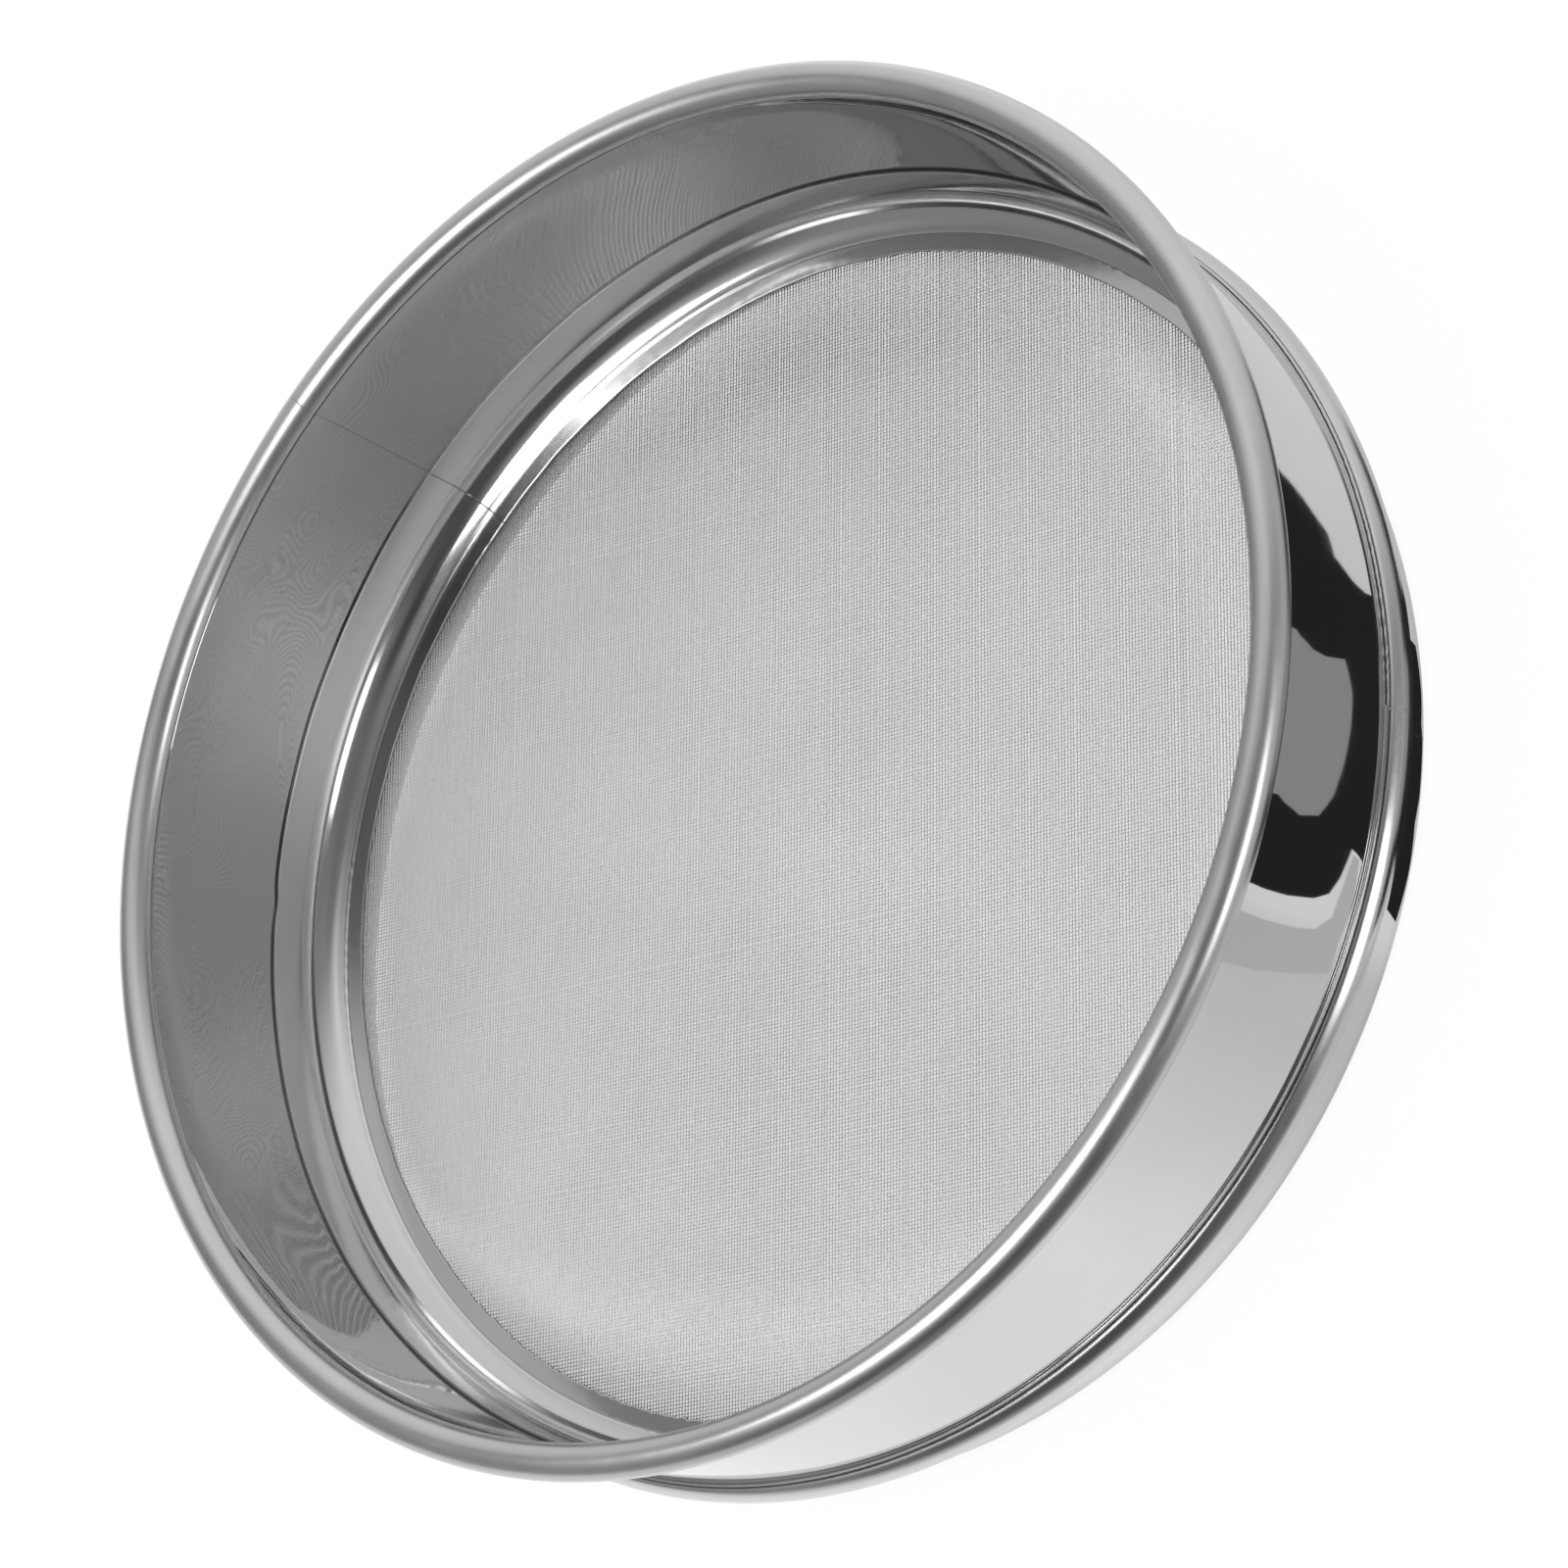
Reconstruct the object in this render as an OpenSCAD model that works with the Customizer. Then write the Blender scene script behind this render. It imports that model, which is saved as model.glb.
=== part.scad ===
// Round flour sieve of stainless steel sheet with a woven cloth.
// It stands on the skirt of its lower ring. The origin is the centre of that resting edge, and +Z is up.
// The weld of the upper hoop lies at the back, on +Y.

/* [Hoop] */
// Overall diameter across the rolled rim
outer_d = 200; // [150:1:300]
// Height of the hoop from the cloth to the top of the rim
hoop_h = 37.9; // [28:0.1:80]
// Thickness of the hoop's sheet
hoop_t = 0.4; // [0.3:0.05:0.5]
// Diameter of the rolled rim
rim_d = 5.2; // [4:0.1:7]
// Radius of the bend at the foot of the wall, at the middle of the sheet
foot_r = 1.5; // [1.2:0.1:2]
// How far the foot swells outward, so that the lower ring can hook over it
foot_swell = 0.25; // [0.1:0.05:0.5]
// Height over which the wall swells
swell_h = 1.2; // [0.8:0.1:2]

/* [Shelf] */
// Width of the shelf from the inner face of the wall to the lip
shelf_w = 9.6; // [8:0.1:14]
// Width of the flat lip that lies on the cloth
lip_w = 3.3; // [2:0.1:4.5]
// Height of the rounded crown between the foot and the lip
crown_h = 0.8; // [0.3:0.1:1.5]

/* [Lower ring] */
// Height of the cloth's underside above the resting edge
stand_h = 9.9; // [7:0.1:20]
// Thickness of the lower ring's sheet
ring_t = 0.4; // [0.3:0.05:0.5]
// How far the skirt is set in from the outer face of the hoop's wall
skirt_inset = 3.3; // [3:0.1:5]
// Radius of the fold that carries the cloth, at the middle of the sheet
fold_r = 0.4; // [0.3:0.05:0.5]
// Radius of the gutter's inner bend, at the middle of the sheet
gutter_r = 0.85; // [0.7:0.05:1]
// Radius of the gutter's outer bend, at the middle of the sheet
crimp_r = 1.3; // [1:0.05:1.6]
// Depth of the gutter below the cloth's underside
gutter_depth = 1.95; // [1.8:0.05:2.6]
// How far the crimped side laps up the wall above the swollen foot
crimp_lap = 0.3; // [0.2:0.1:2]

/* [Cloth] */
// Spacing of the strands
strand_pitch = 10.3; // [10:0.1:20]
// Width of a strand
strand_w = 1; // [0.4:0.1:2]
// Thickness of a strand
strand_t = 0.2; // [0.15:0.05:0.4]
// Turn of the weave about the upright axis
weave_turn = 45; // [0:1:90]

/* [Welds] */
// Width of the weld that closes the hoop, on its wall
hoop_weld_w = 1; // [0.6:0.1:2]
// Width of the weld that closes the lower ring, on its skirt
ring_weld_w = 1; // [0.6:0.1:2]
// Bearing of the lower ring's weld
ring_weld_at = -47.4; // [-180:0.1:180]

/* [Fits] */
// Clearance of the wire inside the rolled rim
wire_gap = 0.02; // [0.01:0.01:0.1]
// Clearance between the foot of the hoop and the crimped side
crimp_gap = 0.18; // [0.15:0.01:0.3]
// Clearance of an edge that closes on a wall
edge_gap = 0.02; // [0.01:0.01:0.05]
// Clearance of the folded hem in its gutter
hem_gap = 0.03; // [0.02:0.01:0.1]

/* [Hidden] */
$fn = 144;
hoop_weld_at = 90;
round_points = 10;
full_turn = 360;
// Radii of the wall's faces and of the middle of its sheet
wall_in_r = outer_d / 2 - rim_d;
wall_out_r = wall_in_r + hoop_t;
wall_mid_r = wall_in_r + hoop_t / 2;
// Heights of the cloth's two faces
cloth_bottom = stand_h;
cloth_top = stand_h + 2 * strand_t;
// The rolled rim's centre and the middle of its sheet
rim_centre_r = outer_d / 2 - rim_d / 2;
rim_z = cloth_top + hoop_h - rim_d / 2;
rim_mid = rim_d / 2 - hoop_t / 2;
// The roll stops where its edge meets the wall again
rim_stop = acos((rim_d / 2 - hoop_t - edge_gap) / (rim_d / 2));
// The foot's bend and the shelf
shelf_z = cloth_top + hoop_t / 2;
foot_centre_r = wall_mid_r + foot_swell - foot_r;
foot_z = shelf_z + foot_r;
lip_r = wall_in_r - shelf_w;
crown_in_r = lip_r + lip_w;
crown_w = foot_centre_r - crown_in_r;
// The lower ring's radii, at the middle of its sheet
skirt_mid_r = wall_out_r - skirt_inset - ring_t / 2;
fold_centre_r = skirt_mid_r + fold_r;
fold_z = cloth_bottom - ring_t / 2 - fold_r;
gutter_in_r = fold_centre_r + fold_r;
crimp_in_r = wall_out_r + foot_swell + crimp_gap;
crimp_mid_r = crimp_in_r + ring_t / 2;
floor_z = cloth_bottom - gutter_depth + ring_t / 2;
crimp_h = swell_h + crimp_lap;
// How far the crimped side leans in to close on the wall
crimp_lean = crimp_in_r - wall_out_r - edge_gap;
// Angles that the welds take
hoop_weld_angle = hoop_weld_w / wall_mid_r * 180 / PI;
ring_weld_angle = ring_weld_w / skirt_mid_r * 180 / PI;
// Strands on each side of the middle one
strand_reach_r = fold_centre_r - edge_gap;
side_strands = floor((strand_reach_r - strand_w) / strand_pitch);

// Points on an arc about centre, from one angle to the other
function arc(centre, r, from, to, steps) =
    [for (i = [0 : steps]) let (a = from + (to - from) * i / steps) centre + r * [cos(a), sin(a)]];

// A smooth step from 0 to 1
function ease(s) = s * s * (3 - 2 * s);

// Unit normal of a path at point i, from its two neighbours
function path_normal(path, i) =
    let (d = path[min(i + 1, len(path) - 1)] - path[max(i - 1, 0)]) [-d[1], d[0]] / norm(d);

// Outline of a sheet of thickness t whose middle follows the path
function sheet_outline(path, t) = concat(
    [for (i = [0 : len(path) - 1]) path[i] + path_normal(path, i) * t / 2],
    [for (i = [len(path) - 1 : -1 : 0]) path[i] - path_normal(path, i) * t / 2]);

// Middle of the hoop's sheet, from the rolled edge down the wall and in along the shelf
hoop_path = concat(
    arc([rim_centre_r, rim_z], rim_mid, rim_stop - 180, 180, 4 * round_points),
    [for (i = [0 : round_points]) let (s = i / round_points)
        [wall_mid_r + foot_swell * ease(s), foot_z + swell_h * (1 - s)]],
    [for (i = [1 : round_points]) let (a = -90 * i / round_points)
        [foot_centre_r, foot_z] + foot_r * [cos(a), sin(a)]],
    [for (i = [1 : 2 * round_points]) let (s = i / (2 * round_points))
        [foot_centre_r - crown_w * s, shelf_z + crown_h * (1 - cos(full_turn * s)) / 2]],
    [[lip_r, shelf_z]]);

// Middle of the lower ring's sheet, from the resting edge up to the crimped edge
ring_path = concat(
    [[skirt_mid_r, 0]],
    arc([fold_centre_r, fold_z], fold_r, 180, 0, round_points),
    arc([gutter_in_r + gutter_r, floor_z + gutter_r], gutter_r, 180, 270, round_points),
    arc([crimp_mid_r - crimp_r, floor_z + crimp_r], crimp_r, 270, full_turn, round_points),
    [for (i = [0 : round_points]) let (s = i / round_points)
        [crimp_mid_r - crimp_lean * s * s, foot_z + crimp_h * s]]);

// Section of the folded hem: it fills the gutter and reaches in over the fold
hem_inner_bend = gutter_r - ring_t / 2 - hem_gap;
hem_outer_bend = crimp_r - ring_t / 2 - hem_gap;
hem_out_r = crimp_in_r - hem_gap;
hem_in_r = gutter_in_r + ring_t / 2 + hem_gap;
hem_outline = concat(
    [[fold_centre_r, cloth_top], [fold_centre_r, cloth_bottom], [hem_in_r, cloth_bottom]],
    arc([gutter_in_r + gutter_r, floor_z + gutter_r], hem_inner_bend, 180, 270, round_points),
    arc([crimp_mid_r - crimp_r, floor_z + crimp_r], hem_outer_bend, 270, full_turn, round_points),
    [[hem_out_r, cloth_top]]);

// Turns a section about the upright axis through an angle that starts at a bearing
module turned(outline, from, angle) {
    rotate([0, 0, from]) rotate_extrude(angle = angle) polygon(outline);
}

// One layer of parallel strands, cut to the round where the fold carries them
module strand_layer(bottom, turn) {
    rotate([0, 0, turn])
        for (i = [-side_strands : side_strands]) {
            far_side = abs(i) * strand_pitch + strand_w / 2;
            half_length = sqrt(strand_reach_r * strand_reach_r - far_side * far_side);
            translate([-half_length, i * strand_pitch - strand_w / 2, bottom])
                cube([2 * half_length, strand_w, strand_t]);
        }
}

// Rolled rim, wall, foot and shelf of one formed strip
module upper_hoop() {
    color("gainsboro")
        turned(sheet_outline(hoop_path, hoop_t), hoop_weld_at + hoop_weld_angle / 2,
               full_turn - hoop_weld_angle);
}

// Weld that closes the hoop, ground flush with its sheet
module hoop_seam() {
    color("darkgray")
        turned(sheet_outline(hoop_path, hoop_t), hoop_weld_at - hoop_weld_angle / 2, hoop_weld_angle);
}

// Wire ring inside the rolled rim
module rim_wire() {
    color("slategray")
        rotate_extrude()
            translate([rim_centre_r, rim_z])
                circle(d = rim_d - 2 * hoop_t - 2 * wire_gap);
}

// Upper layer of the cloth
module mesh_warp() {
    color("lightgray") strand_layer(cloth_bottom + strand_t, weave_turn);
}

// Lower layer of the cloth, square to the upper one
module mesh_weft() {
    color("lightsteelblue") strand_layer(cloth_bottom, weave_turn + 90);
}

// Folded margin of the cloth, locked in the gutter
module mesh_hem() {
    color("dimgray") turned(hem_outline, 0, full_turn);
}

// Skirt, fold, gutter and crimped side of one formed strip
module lower_ring() {
    color("silver")
        turned(sheet_outline(ring_path, ring_t), ring_weld_at + ring_weld_angle / 2,
               full_turn - ring_weld_angle);
}

// Weld that closes the lower ring, ground flush with its sheet
module ring_seam() {
    color("darkgray")
        turned(sheet_outline(ring_path, ring_t), ring_weld_at - ring_weld_angle / 2, ring_weld_angle);
}

upper_hoop();
hoop_seam();
rim_wire();
mesh_warp();
mesh_weft();
mesh_hem();
lower_ring();
ring_seam();
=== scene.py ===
"""Dresses the mesh sieve: hoop, rolled rim, shelf, woven cloth and lower ring, with its studio and camera.

Lengths are in millimetres and angles in degrees, where nothing else is said. Points are radius and height.
"""

import logging
import math
from dataclasses import dataclass, replace
from enum import Enum
from functools import cache
from typing import Callable

import bpy
import numpy as np
from mathutils import Matrix, Vector


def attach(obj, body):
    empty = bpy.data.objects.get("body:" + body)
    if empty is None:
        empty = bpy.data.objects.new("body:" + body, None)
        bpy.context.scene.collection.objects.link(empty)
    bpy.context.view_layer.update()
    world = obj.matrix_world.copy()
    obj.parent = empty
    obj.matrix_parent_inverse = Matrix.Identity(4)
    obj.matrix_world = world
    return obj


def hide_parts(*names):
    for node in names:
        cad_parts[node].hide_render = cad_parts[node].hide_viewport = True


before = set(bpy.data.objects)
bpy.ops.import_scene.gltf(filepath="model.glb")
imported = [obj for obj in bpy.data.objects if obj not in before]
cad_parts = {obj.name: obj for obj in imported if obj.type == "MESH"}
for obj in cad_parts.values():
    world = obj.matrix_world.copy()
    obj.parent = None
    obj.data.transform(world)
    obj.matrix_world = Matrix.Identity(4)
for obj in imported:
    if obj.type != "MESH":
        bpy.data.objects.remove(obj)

log = logging.getLogger("mesh_sieve")

MM = 0.001
# Bearing of the camera's side of the sieve, in degrees from +X towards +Y
CAMERA_SIDE = -75.75
# Points of a path that lie nearer than this are one, in millimetres
NEAREST = 1e-4
# How many points go round a cut edge, how square its corners are, and its bulge as a share of half the sheet
EDGE_POINTS = 3
EDGE_SQUARENESS = 0.45
EDGE_BULGE = 0.35
# Width in degrees of the last strip at each open end, which keeps the shading of the flat cap there
END_STRIP = 0.008
# Millimetres to one unit of a piece's own map, and where the map of its inner face starts
MAP_SCALE = 100.0
INNER_MAP = 150.0
# The middle part of a noise's values, over which the polish and the tint go from their least to their most
POLISH_NOISE = (0.35, 0.65)
TINT_NOISE = (0.3, 0.7)
WHITE = (1.0, 1.0, 1.0, 1.0)

Array = np.ndarray
Pair = tuple[float, float]
Points = tuple[Pair, ...]
Turns = tuple[tuple[float, float, float, int], ...]
Shift = Callable[[Array, Array], tuple[Array, Array]]
Piece = bpy.types.Object
Material = bpy.types.Material
Socket = bpy.types.NodeSocket


def arc(centre: Pair, radius: float, start: float, stop: float, count: int) -> Array:
    """Points on a circle: centre plus radius times cosine and sine.

    Args:
        centre: the circle's centre.
        radius: its radius.
        start: its first angle.
        stop: its last angle.
        count: how many steps lie between them.

    Returns:
        An array of count + 1 points.
    """
    a = np.radians(np.linspace(start, stop, count + 1))
    return np.stack([centre[0] + radius * np.cos(a), centre[1] + radius * np.sin(a)], 1)


def distances(path: Array) -> Array:
    """How far each point lies along its path: the running sum of the lengths of the steps."""
    return np.concatenate([[0], np.cumsum(np.linalg.norm(np.diff(path, axis=0), axis=1))])


def smooth_line(points: Points, count: int) -> Array:
    """A curve through points: between two of them it is the cubic that has the slope of their neighbours at each.

    Args:
        points: the points.
        count: how many even steps the curve gets.

    Returns:
        An array of count + 1 points.
    """
    p = np.array(points)
    t = distances(p)
    slope = np.gradient(p, t, axis=0)
    at = np.linspace(0, t[-1], count + 1)
    i = np.clip(np.searchsorted(t, at, "right") - 1, 0, len(t) - 2)
    gap = (t[i + 1] - t[i])[:, None]
    u = (at - t[i])[:, None] / gap
    rise = u * u * (3 - 2 * u)
    leave, arrive = u * (1 - u) ** 2 * gap, u * u * (u - 1) * gap
    return p[i] * (1 - rise) + p[i + 1] * rise + slope[i] * leave + slope[i + 1] * arrive


def chained(start: Pair, turns: Turns) -> Array:
    """Arcs that follow one another: each centre lies one radius back from the point reached, at the first angle.

    Args:
        start: the first point.
        turns: each arc's radius, its first and last angle, and how many steps it gets.

    Returns:
        The points of all the arcs in a row.
    """
    path = np.array([start])
    for radius, first, last, count in turns:
        a = math.radians(first)
        centre = path[-1] - radius * np.array([math.cos(a), math.sin(a)])
        path = np.concatenate([path, arc(tuple(centre), radius, first, last, count)[1:]])
    return path


def joined(*parts: Array) -> Array:
    """Joins paths end to end and drops a point that repeats the one before it."""
    path = np.concatenate(parts)
    apart = np.linalg.norm(np.diff(path, axis=0), axis=1) > NEAREST
    return path[np.concatenate([[True], apart])]


def ease(s: Array) -> Array:
    """A smooth step from 0 to 1: three s squared less two s cubed, held at 0 and 1 outside."""
    s = np.clip(s, 0, 1)
    return s * s * (3 - 2 * s)


def around(bearing: Array, at: float, width: float) -> Array:
    """A soft hump of height 1 about one bearing: the exponential of minus the squared turn from it.

    Args:
        bearing: the bearings.
        at: the bearing of the hump's top.
        width: how far from the top it falls to about a third.

    Returns:
        The hump's height at each bearing.
    """
    turn = (bearing - at + 180) % 360 - 180
    return np.exp(-((turn / width) ** 2))


@dataclass(frozen=True)
class Stretch:
    """A part of the turn, with a soft turn outside its two ends."""

    start: float
    stop: float
    soft: float
    share: float = 1.0

    def at(self, bearing: Array) -> Array:
        """The share from the start round to the stop, which falls smoothly to 0 over the soft turn outside.

        Args:
            bearing: the bearings.

        Returns:
            Values from 0 to the share, one for each bearing.
        """
        turn = (bearing - self.start) % 360
        span = (self.stop - self.start) % 360
        past = np.minimum(np.maximum(turn - span, 0), np.maximum(360 - turn, 0) * (turn > span))
        return self.share * (1 - ease(past / self.soft))


@dataclass(frozen=True)
class Waves:
    """Uneven waves round the turn: their height, the seed of their phases, and the longest and shortest."""

    height: float
    seed: int
    longest: float
    shortest: float
    count: int = 9

    def at(self, bearing: Array) -> Array:
        """A sum of sines of whole numbers of waves, so that they close on a full turn.

        Args:
            bearing: the bearings.

        Returns:
            Values from about minus the height to the height, one for each bearing.
        """
        rng = np.random.default_rng(self.seed)
        waves = np.unique(np.round(np.geomspace(360 / self.longest, 360 / self.shortest, self.count)))
        phase = rng.uniform(0, 2 * np.pi, len(waves))
        share = rng.uniform(0.5, 1, len(waves))
        total = sum(s * np.sin(np.radians(bearing) * w + p) for s, w, p in zip(share, waves, phase))
        return self.height * (total / np.sqrt((share**2).sum() / 2) / 2)


@dataclass(frozen=True)
class Loop:
    """The closed outline of a sheet."""

    points: Array
    station: Array
    side: Array
    finish: Array


def sheet_loop(path: Array, thickness: float, thin_front: int = 1, ends: tuple[int, int] = (1, 1)) -> Loop:
    """Lays a sheet's two faces half its thickness off the path on each side, and rounds its cut edges a little.

    Args:
        path: points along the sheet's middle.
        thickness: its thickness.
        thin_front: keeps each so many-th point on the left face, where less detail is seen.
        ends: the finish numbers of the first and last cut edges. Number 0 is flush, for a sheet that goes on.

    Returns:
        The outline, with each point's distance along the path, its side (1 left, -1 right) and its finish.
    """
    step = np.gradient(path, axis=0)
    along = step / np.linalg.norm(step, axis=1, keepdims=True)
    normal = np.stack([-along[:, 1], along[:, 0]], 1)
    station = distances(path)
    half = thickness / 2
    front = np.union1d(np.arange(0, len(path), thin_front), [len(path) - 1])
    angle = np.linspace(0, np.pi, EDGE_POINTS + 2)[1:-1, None]
    # A squarish round: cosine and sine drawn out towards the corners
    across = np.sign(np.cos(angle)) * np.abs(np.cos(angle)) ** EDGE_SQUARENESS
    out = np.sin(angle) ** EDGE_SQUARENESS * EDGE_BULGE
    far = path[-1] + half * (normal[-1] * across + along[-1] * out * bool(ends[1]))
    near = path[0] - half * (normal[0] * across + along[0] * out * bool(ends[0]))
    points = np.concatenate([(path + normal * half)[front], far, (path - normal * half)[::-1], near])
    n, f, m = len(path), len(front), EDGE_POINTS
    side = np.concatenate([np.ones(f), across[:, 0], -np.ones(n), -across[:, 0]])
    stations = np.concatenate([station[front], np.full(m, station[-1]), station[::-1], np.zeros(m)])
    finish = np.repeat([0, ends[1], 0, ends[0]], [f, m, n, m])
    return Loop(points, stations, side, finish)


def faces_loop(outer: Array, inner: Array) -> Loop:
    """Closes two given faces of a sheet, both drawn the same way, into one outline.

    Args:
        outer: points along the outer face.
        inner: points along the inner face.

    Returns:
        The outline, with finish 0 outside and 1 inside.
    """
    points = np.concatenate([outer, inner[::-1]])
    station = np.concatenate([distances(outer), distances(inner)[::-1]])
    side = np.concatenate([np.ones(len(outer)), -np.ones(len(inner))])
    return Loop(points, station, side, (side < 0).astype(int))


def grid_faces(rows: int, columns: int, close_rows: bool, close_columns: bool) -> Array:
    """Four-cornered faces over a grid of rows and columns, with each closed on itself or left open.

    Args:
        rows: points along the first parameter.
        columns: points along the second parameter.
        close_rows: joins the last row to the first.
        close_columns: the same for the columns.

    Returns:
        An array of faces, each with four point numbers.
    """
    i = np.arange(rows if close_rows else rows - 1)[:, None]
    j = np.arange(columns if close_columns else columns - 1)[None, :]
    i2, j2 = (i + 1) % rows, (j + 1) % columns
    corners = [i * columns + j, i2 * columns + j, i2 * columns + j2, i * columns + j2]
    return np.stack(np.broadcast_arrays(*corners), -1).reshape(-1, 4)


def volume(points: Array, faces: Array) -> float:
    """Six times the space that closed four-cornered faces hold, negative when they point inwards."""
    a, b, c, d = (points[faces[:, k]] for k in range(4))
    return float((np.cross(a, b) * c).sum() + (np.cross(a, c) * d).sum())


def new_object(name: str, data: bpy.types.ID) -> Piece:
    """Makes an object of its data and puts it into the scene."""
    made = bpy.data.objects.new(name, data)
    bpy.context.scene.collection.objects.link(made)
    return made


def make_piece(
    name: str,
    points: Array,
    faces: list[list[int]],
    uv: Array | None,
    materials: list[Material],
    slots: Array | None = None,
    flat_last: int = 0,
) -> Piece:
    """Puts points and faces into a new smooth-shaded object at the origin.

    Args:
        name: the piece's name.
        points: its points, as x, y and z.
        faces: its faces.
        uv: one map place for each point, or None.
        materials: its finishes.
        slots: the finish number of each face, or None for the first.
        flat_last: how many of the last faces are flat.

    Returns:
        The new object.
    """
    mesh = bpy.data.meshes.new(name)
    mesh.from_pydata((points * MM).tolist(), [], faces)
    smooth = np.ones(len(mesh.polygons), bool)
    if flat_last:
        smooth[-flat_last:] = False
    mesh.polygons.foreach_set("use_smooth", smooth)
    if slots is not None:
        mesh.polygons.foreach_set("material_index", slots.astype(np.int32))
    if uv is not None:
        layer = mesh.uv_layers.new(name="Surface")
        corner = np.empty(len(mesh.loops), np.int32)
        mesh.loops.foreach_get("vertex_index", corner)
        layer.uv.foreach_set("vector", uv[corner].astype(np.float32).ravel())
    for m in materials:
        mesh.materials.append(m)
    mesh.update()
    return new_object(name, mesh)


class Graph:
    """Adds shader nodes to one material and joins them."""

    def __init__(self, tree: bpy.types.NodeTree) -> None:
        """Clears the tree and keeps it."""
        self.tree = tree
        tree.nodes.clear()

    def add(self, kind: str, **settings: object) -> bpy.types.Node:
        """Adds a node and gives its settings. One that names an input sets it, or joins it to an output.

        Args:
            kind: the node's type.
            settings: values by the name of a property, or of an input as in feed.

        Returns:
            The node.
        """
        node = self.tree.nodes.new(kind)
        for key, value in settings.items():
            if hasattr(node, key):
                setattr(node, key, value)
            else:
                self.feed(node, key, value)
        return node

    def feed(self, node: bpy.types.Node, key: str, value: object) -> None:
        """Sets or joins one input.

        Args:
            node: the node that has the input.
            key: its name with underscores for spaces, or its number as i0, i1.
            value: a value, or the output to join.
        """
        if key[0] == "i" and key[1:].isdigit():
            socket = node.inputs[int(key[1:])]
        else:
            socket = node.inputs[key.replace("_", " ")]
        if isinstance(value, Socket):
            self.tree.links.new(value, socket)
        else:
            socket.default_value = value

    def close(self, kind: str, shader: bpy.types.Node) -> None:
        """Joins the last shader to a new output of a kind."""
        output = self.add(kind)
        self.tree.links.new(shader.outputs[0], output.inputs["Surface"])

    def math(self, how: str, a: object, b: object = 0.0) -> Socket:
        """Adds a Math node and returns its value."""
        return self.add("ShaderNodeMath", operation=how, i0=a, i1=b).outputs[0]

    def span(self, value: Socket, low: float, high: float, to_low: float, to_high: float) -> Socket:
        """Maps values from low to high onto another span, held at its ends."""
        limits = {"From Min": low, "From Max": high, "To Min": to_low, "To Max": to_high}
        return self.add("ShaderNodeMapRange", Value=value, **limits).outputs[0]

    def blend(self, value: Socket, limits: Pair, first: object, last: object) -> Socket:
        """Goes from the first value to the last as another one passes from its lower limit to its upper one.

        Args:
            value: the value that passes its limits.
            limits: the two limits.
            first: the value below them.
            last: the value above them.

        Returns:
            The value between.
        """
        share = self.span(value, *limits, 0.0, 1.0)
        rest = self.math("SUBTRACT", 1.0, share)
        return self.math("ADD", self.math("MULTIPLY", first, rest), self.math("MULTIPLY", last, share))

    def bearing(self, x: Socket, y: Socket) -> Socket:
        """The bearing of a place from the camera's side, as a share of a full turn."""
        turned = self.math("SUBTRACT", self.math("ARCTAN2", y, x), math.radians(CAMERA_SIDE))
        return self.math("FRACT", self.math("DIVIDE", turned, 2 * math.pi))

    def ring(self, bearing: Socket, levels: Points) -> Socket:
        """The brightness round the sieve, from a few bearings and levels.

        Args:
            bearing: the bearing from the camera's side, as a share of a full turn.
            levels: bearings from 0 to 360, each with its level.

        Returns:
            The level at the bearing.
        """
        ramp = self.add("ShaderNodeValToRGB", Fac=bearing)
        stops = ramp.color_ramp.elements
        while len(stops) < len(levels):
            stops.new(1.0)
        for stop, (turn, level) in zip(stops, levels):
            stop.position = turn / 360
            stop.color = (level, level, level, 1)
        return ramp.outputs["Color"]


def new_material(name: str) -> tuple[Material, Graph]:
    """Makes an empty material and returns it with its graph."""
    made = bpy.data.materials.new(name)
    made.use_nodes = True
    return made, Graph(made.node_tree)


@dataclass(frozen=True)
class Noise:
    """A noise pattern: its scale, its detail, its roughness, and how much finer it is along each axis."""

    scale: float
    detail: float = 2.0
    rough: float = 0.5
    finer: tuple[float, float, float] | None = None

    def over(self, g: Graph, place: Socket) -> Socket:
        """Adds the noise to a graph.

        Args:
            g: the graph.
            place: the coordinates that the noise follows.

        Returns:
            The noise's value.
        """
        if self.finer is not None:
            place = g.add("ShaderNodeMapping", Vector=place, Scale=self.finer).outputs["Vector"]
        settings = {"Scale": self.scale, "Detail": self.detail, "Roughness": self.rough}
        return g.add("ShaderNodeTexNoise", Vector=place, **settings).outputs[0]


DRIFT = Noise(35.0, 3.0)
SMEAR = Noise(1.0, 3.0, 0.6, (14.0, 90.0, 14.0))
# A fingerprint's lines are turns of a broad noise, and they fade where the second noise is low
WHORL_FIELD = Noise(26.0, 1.5, 0.4, (1.0, 1.0, 2.2))
WHORL_TURNS = 800.0
WHORL_PLACES = Noise(30.0, 1.0)
WHORL_PLACES_NOISE = (0.4, 0.65)
WHORL_FAINT = 0.15
# A scratch is a narrow band about the middle of a stretched noise, kept where the second noise is high
SCRATCH_LINES = Noise(1.0, 1.0, finer=(9.0, 260.0, 1.0))
SCRATCH_WIDTH = 0.01
SCRATCH_PLACES = Noise(14.0, 2.0)
SCRATCH_PLACES_NOISE = (0.52, 0.62)
# How far a pit's slope reaches from its middle, as a share of a cell
PIT_REACH = 0.16


class Place(Enum):
    """What a finish's pattern follows."""

    SURFACE = "the piece's own map, along the turn and across the sheet"
    SOLID = "the object's own axes"


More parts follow.
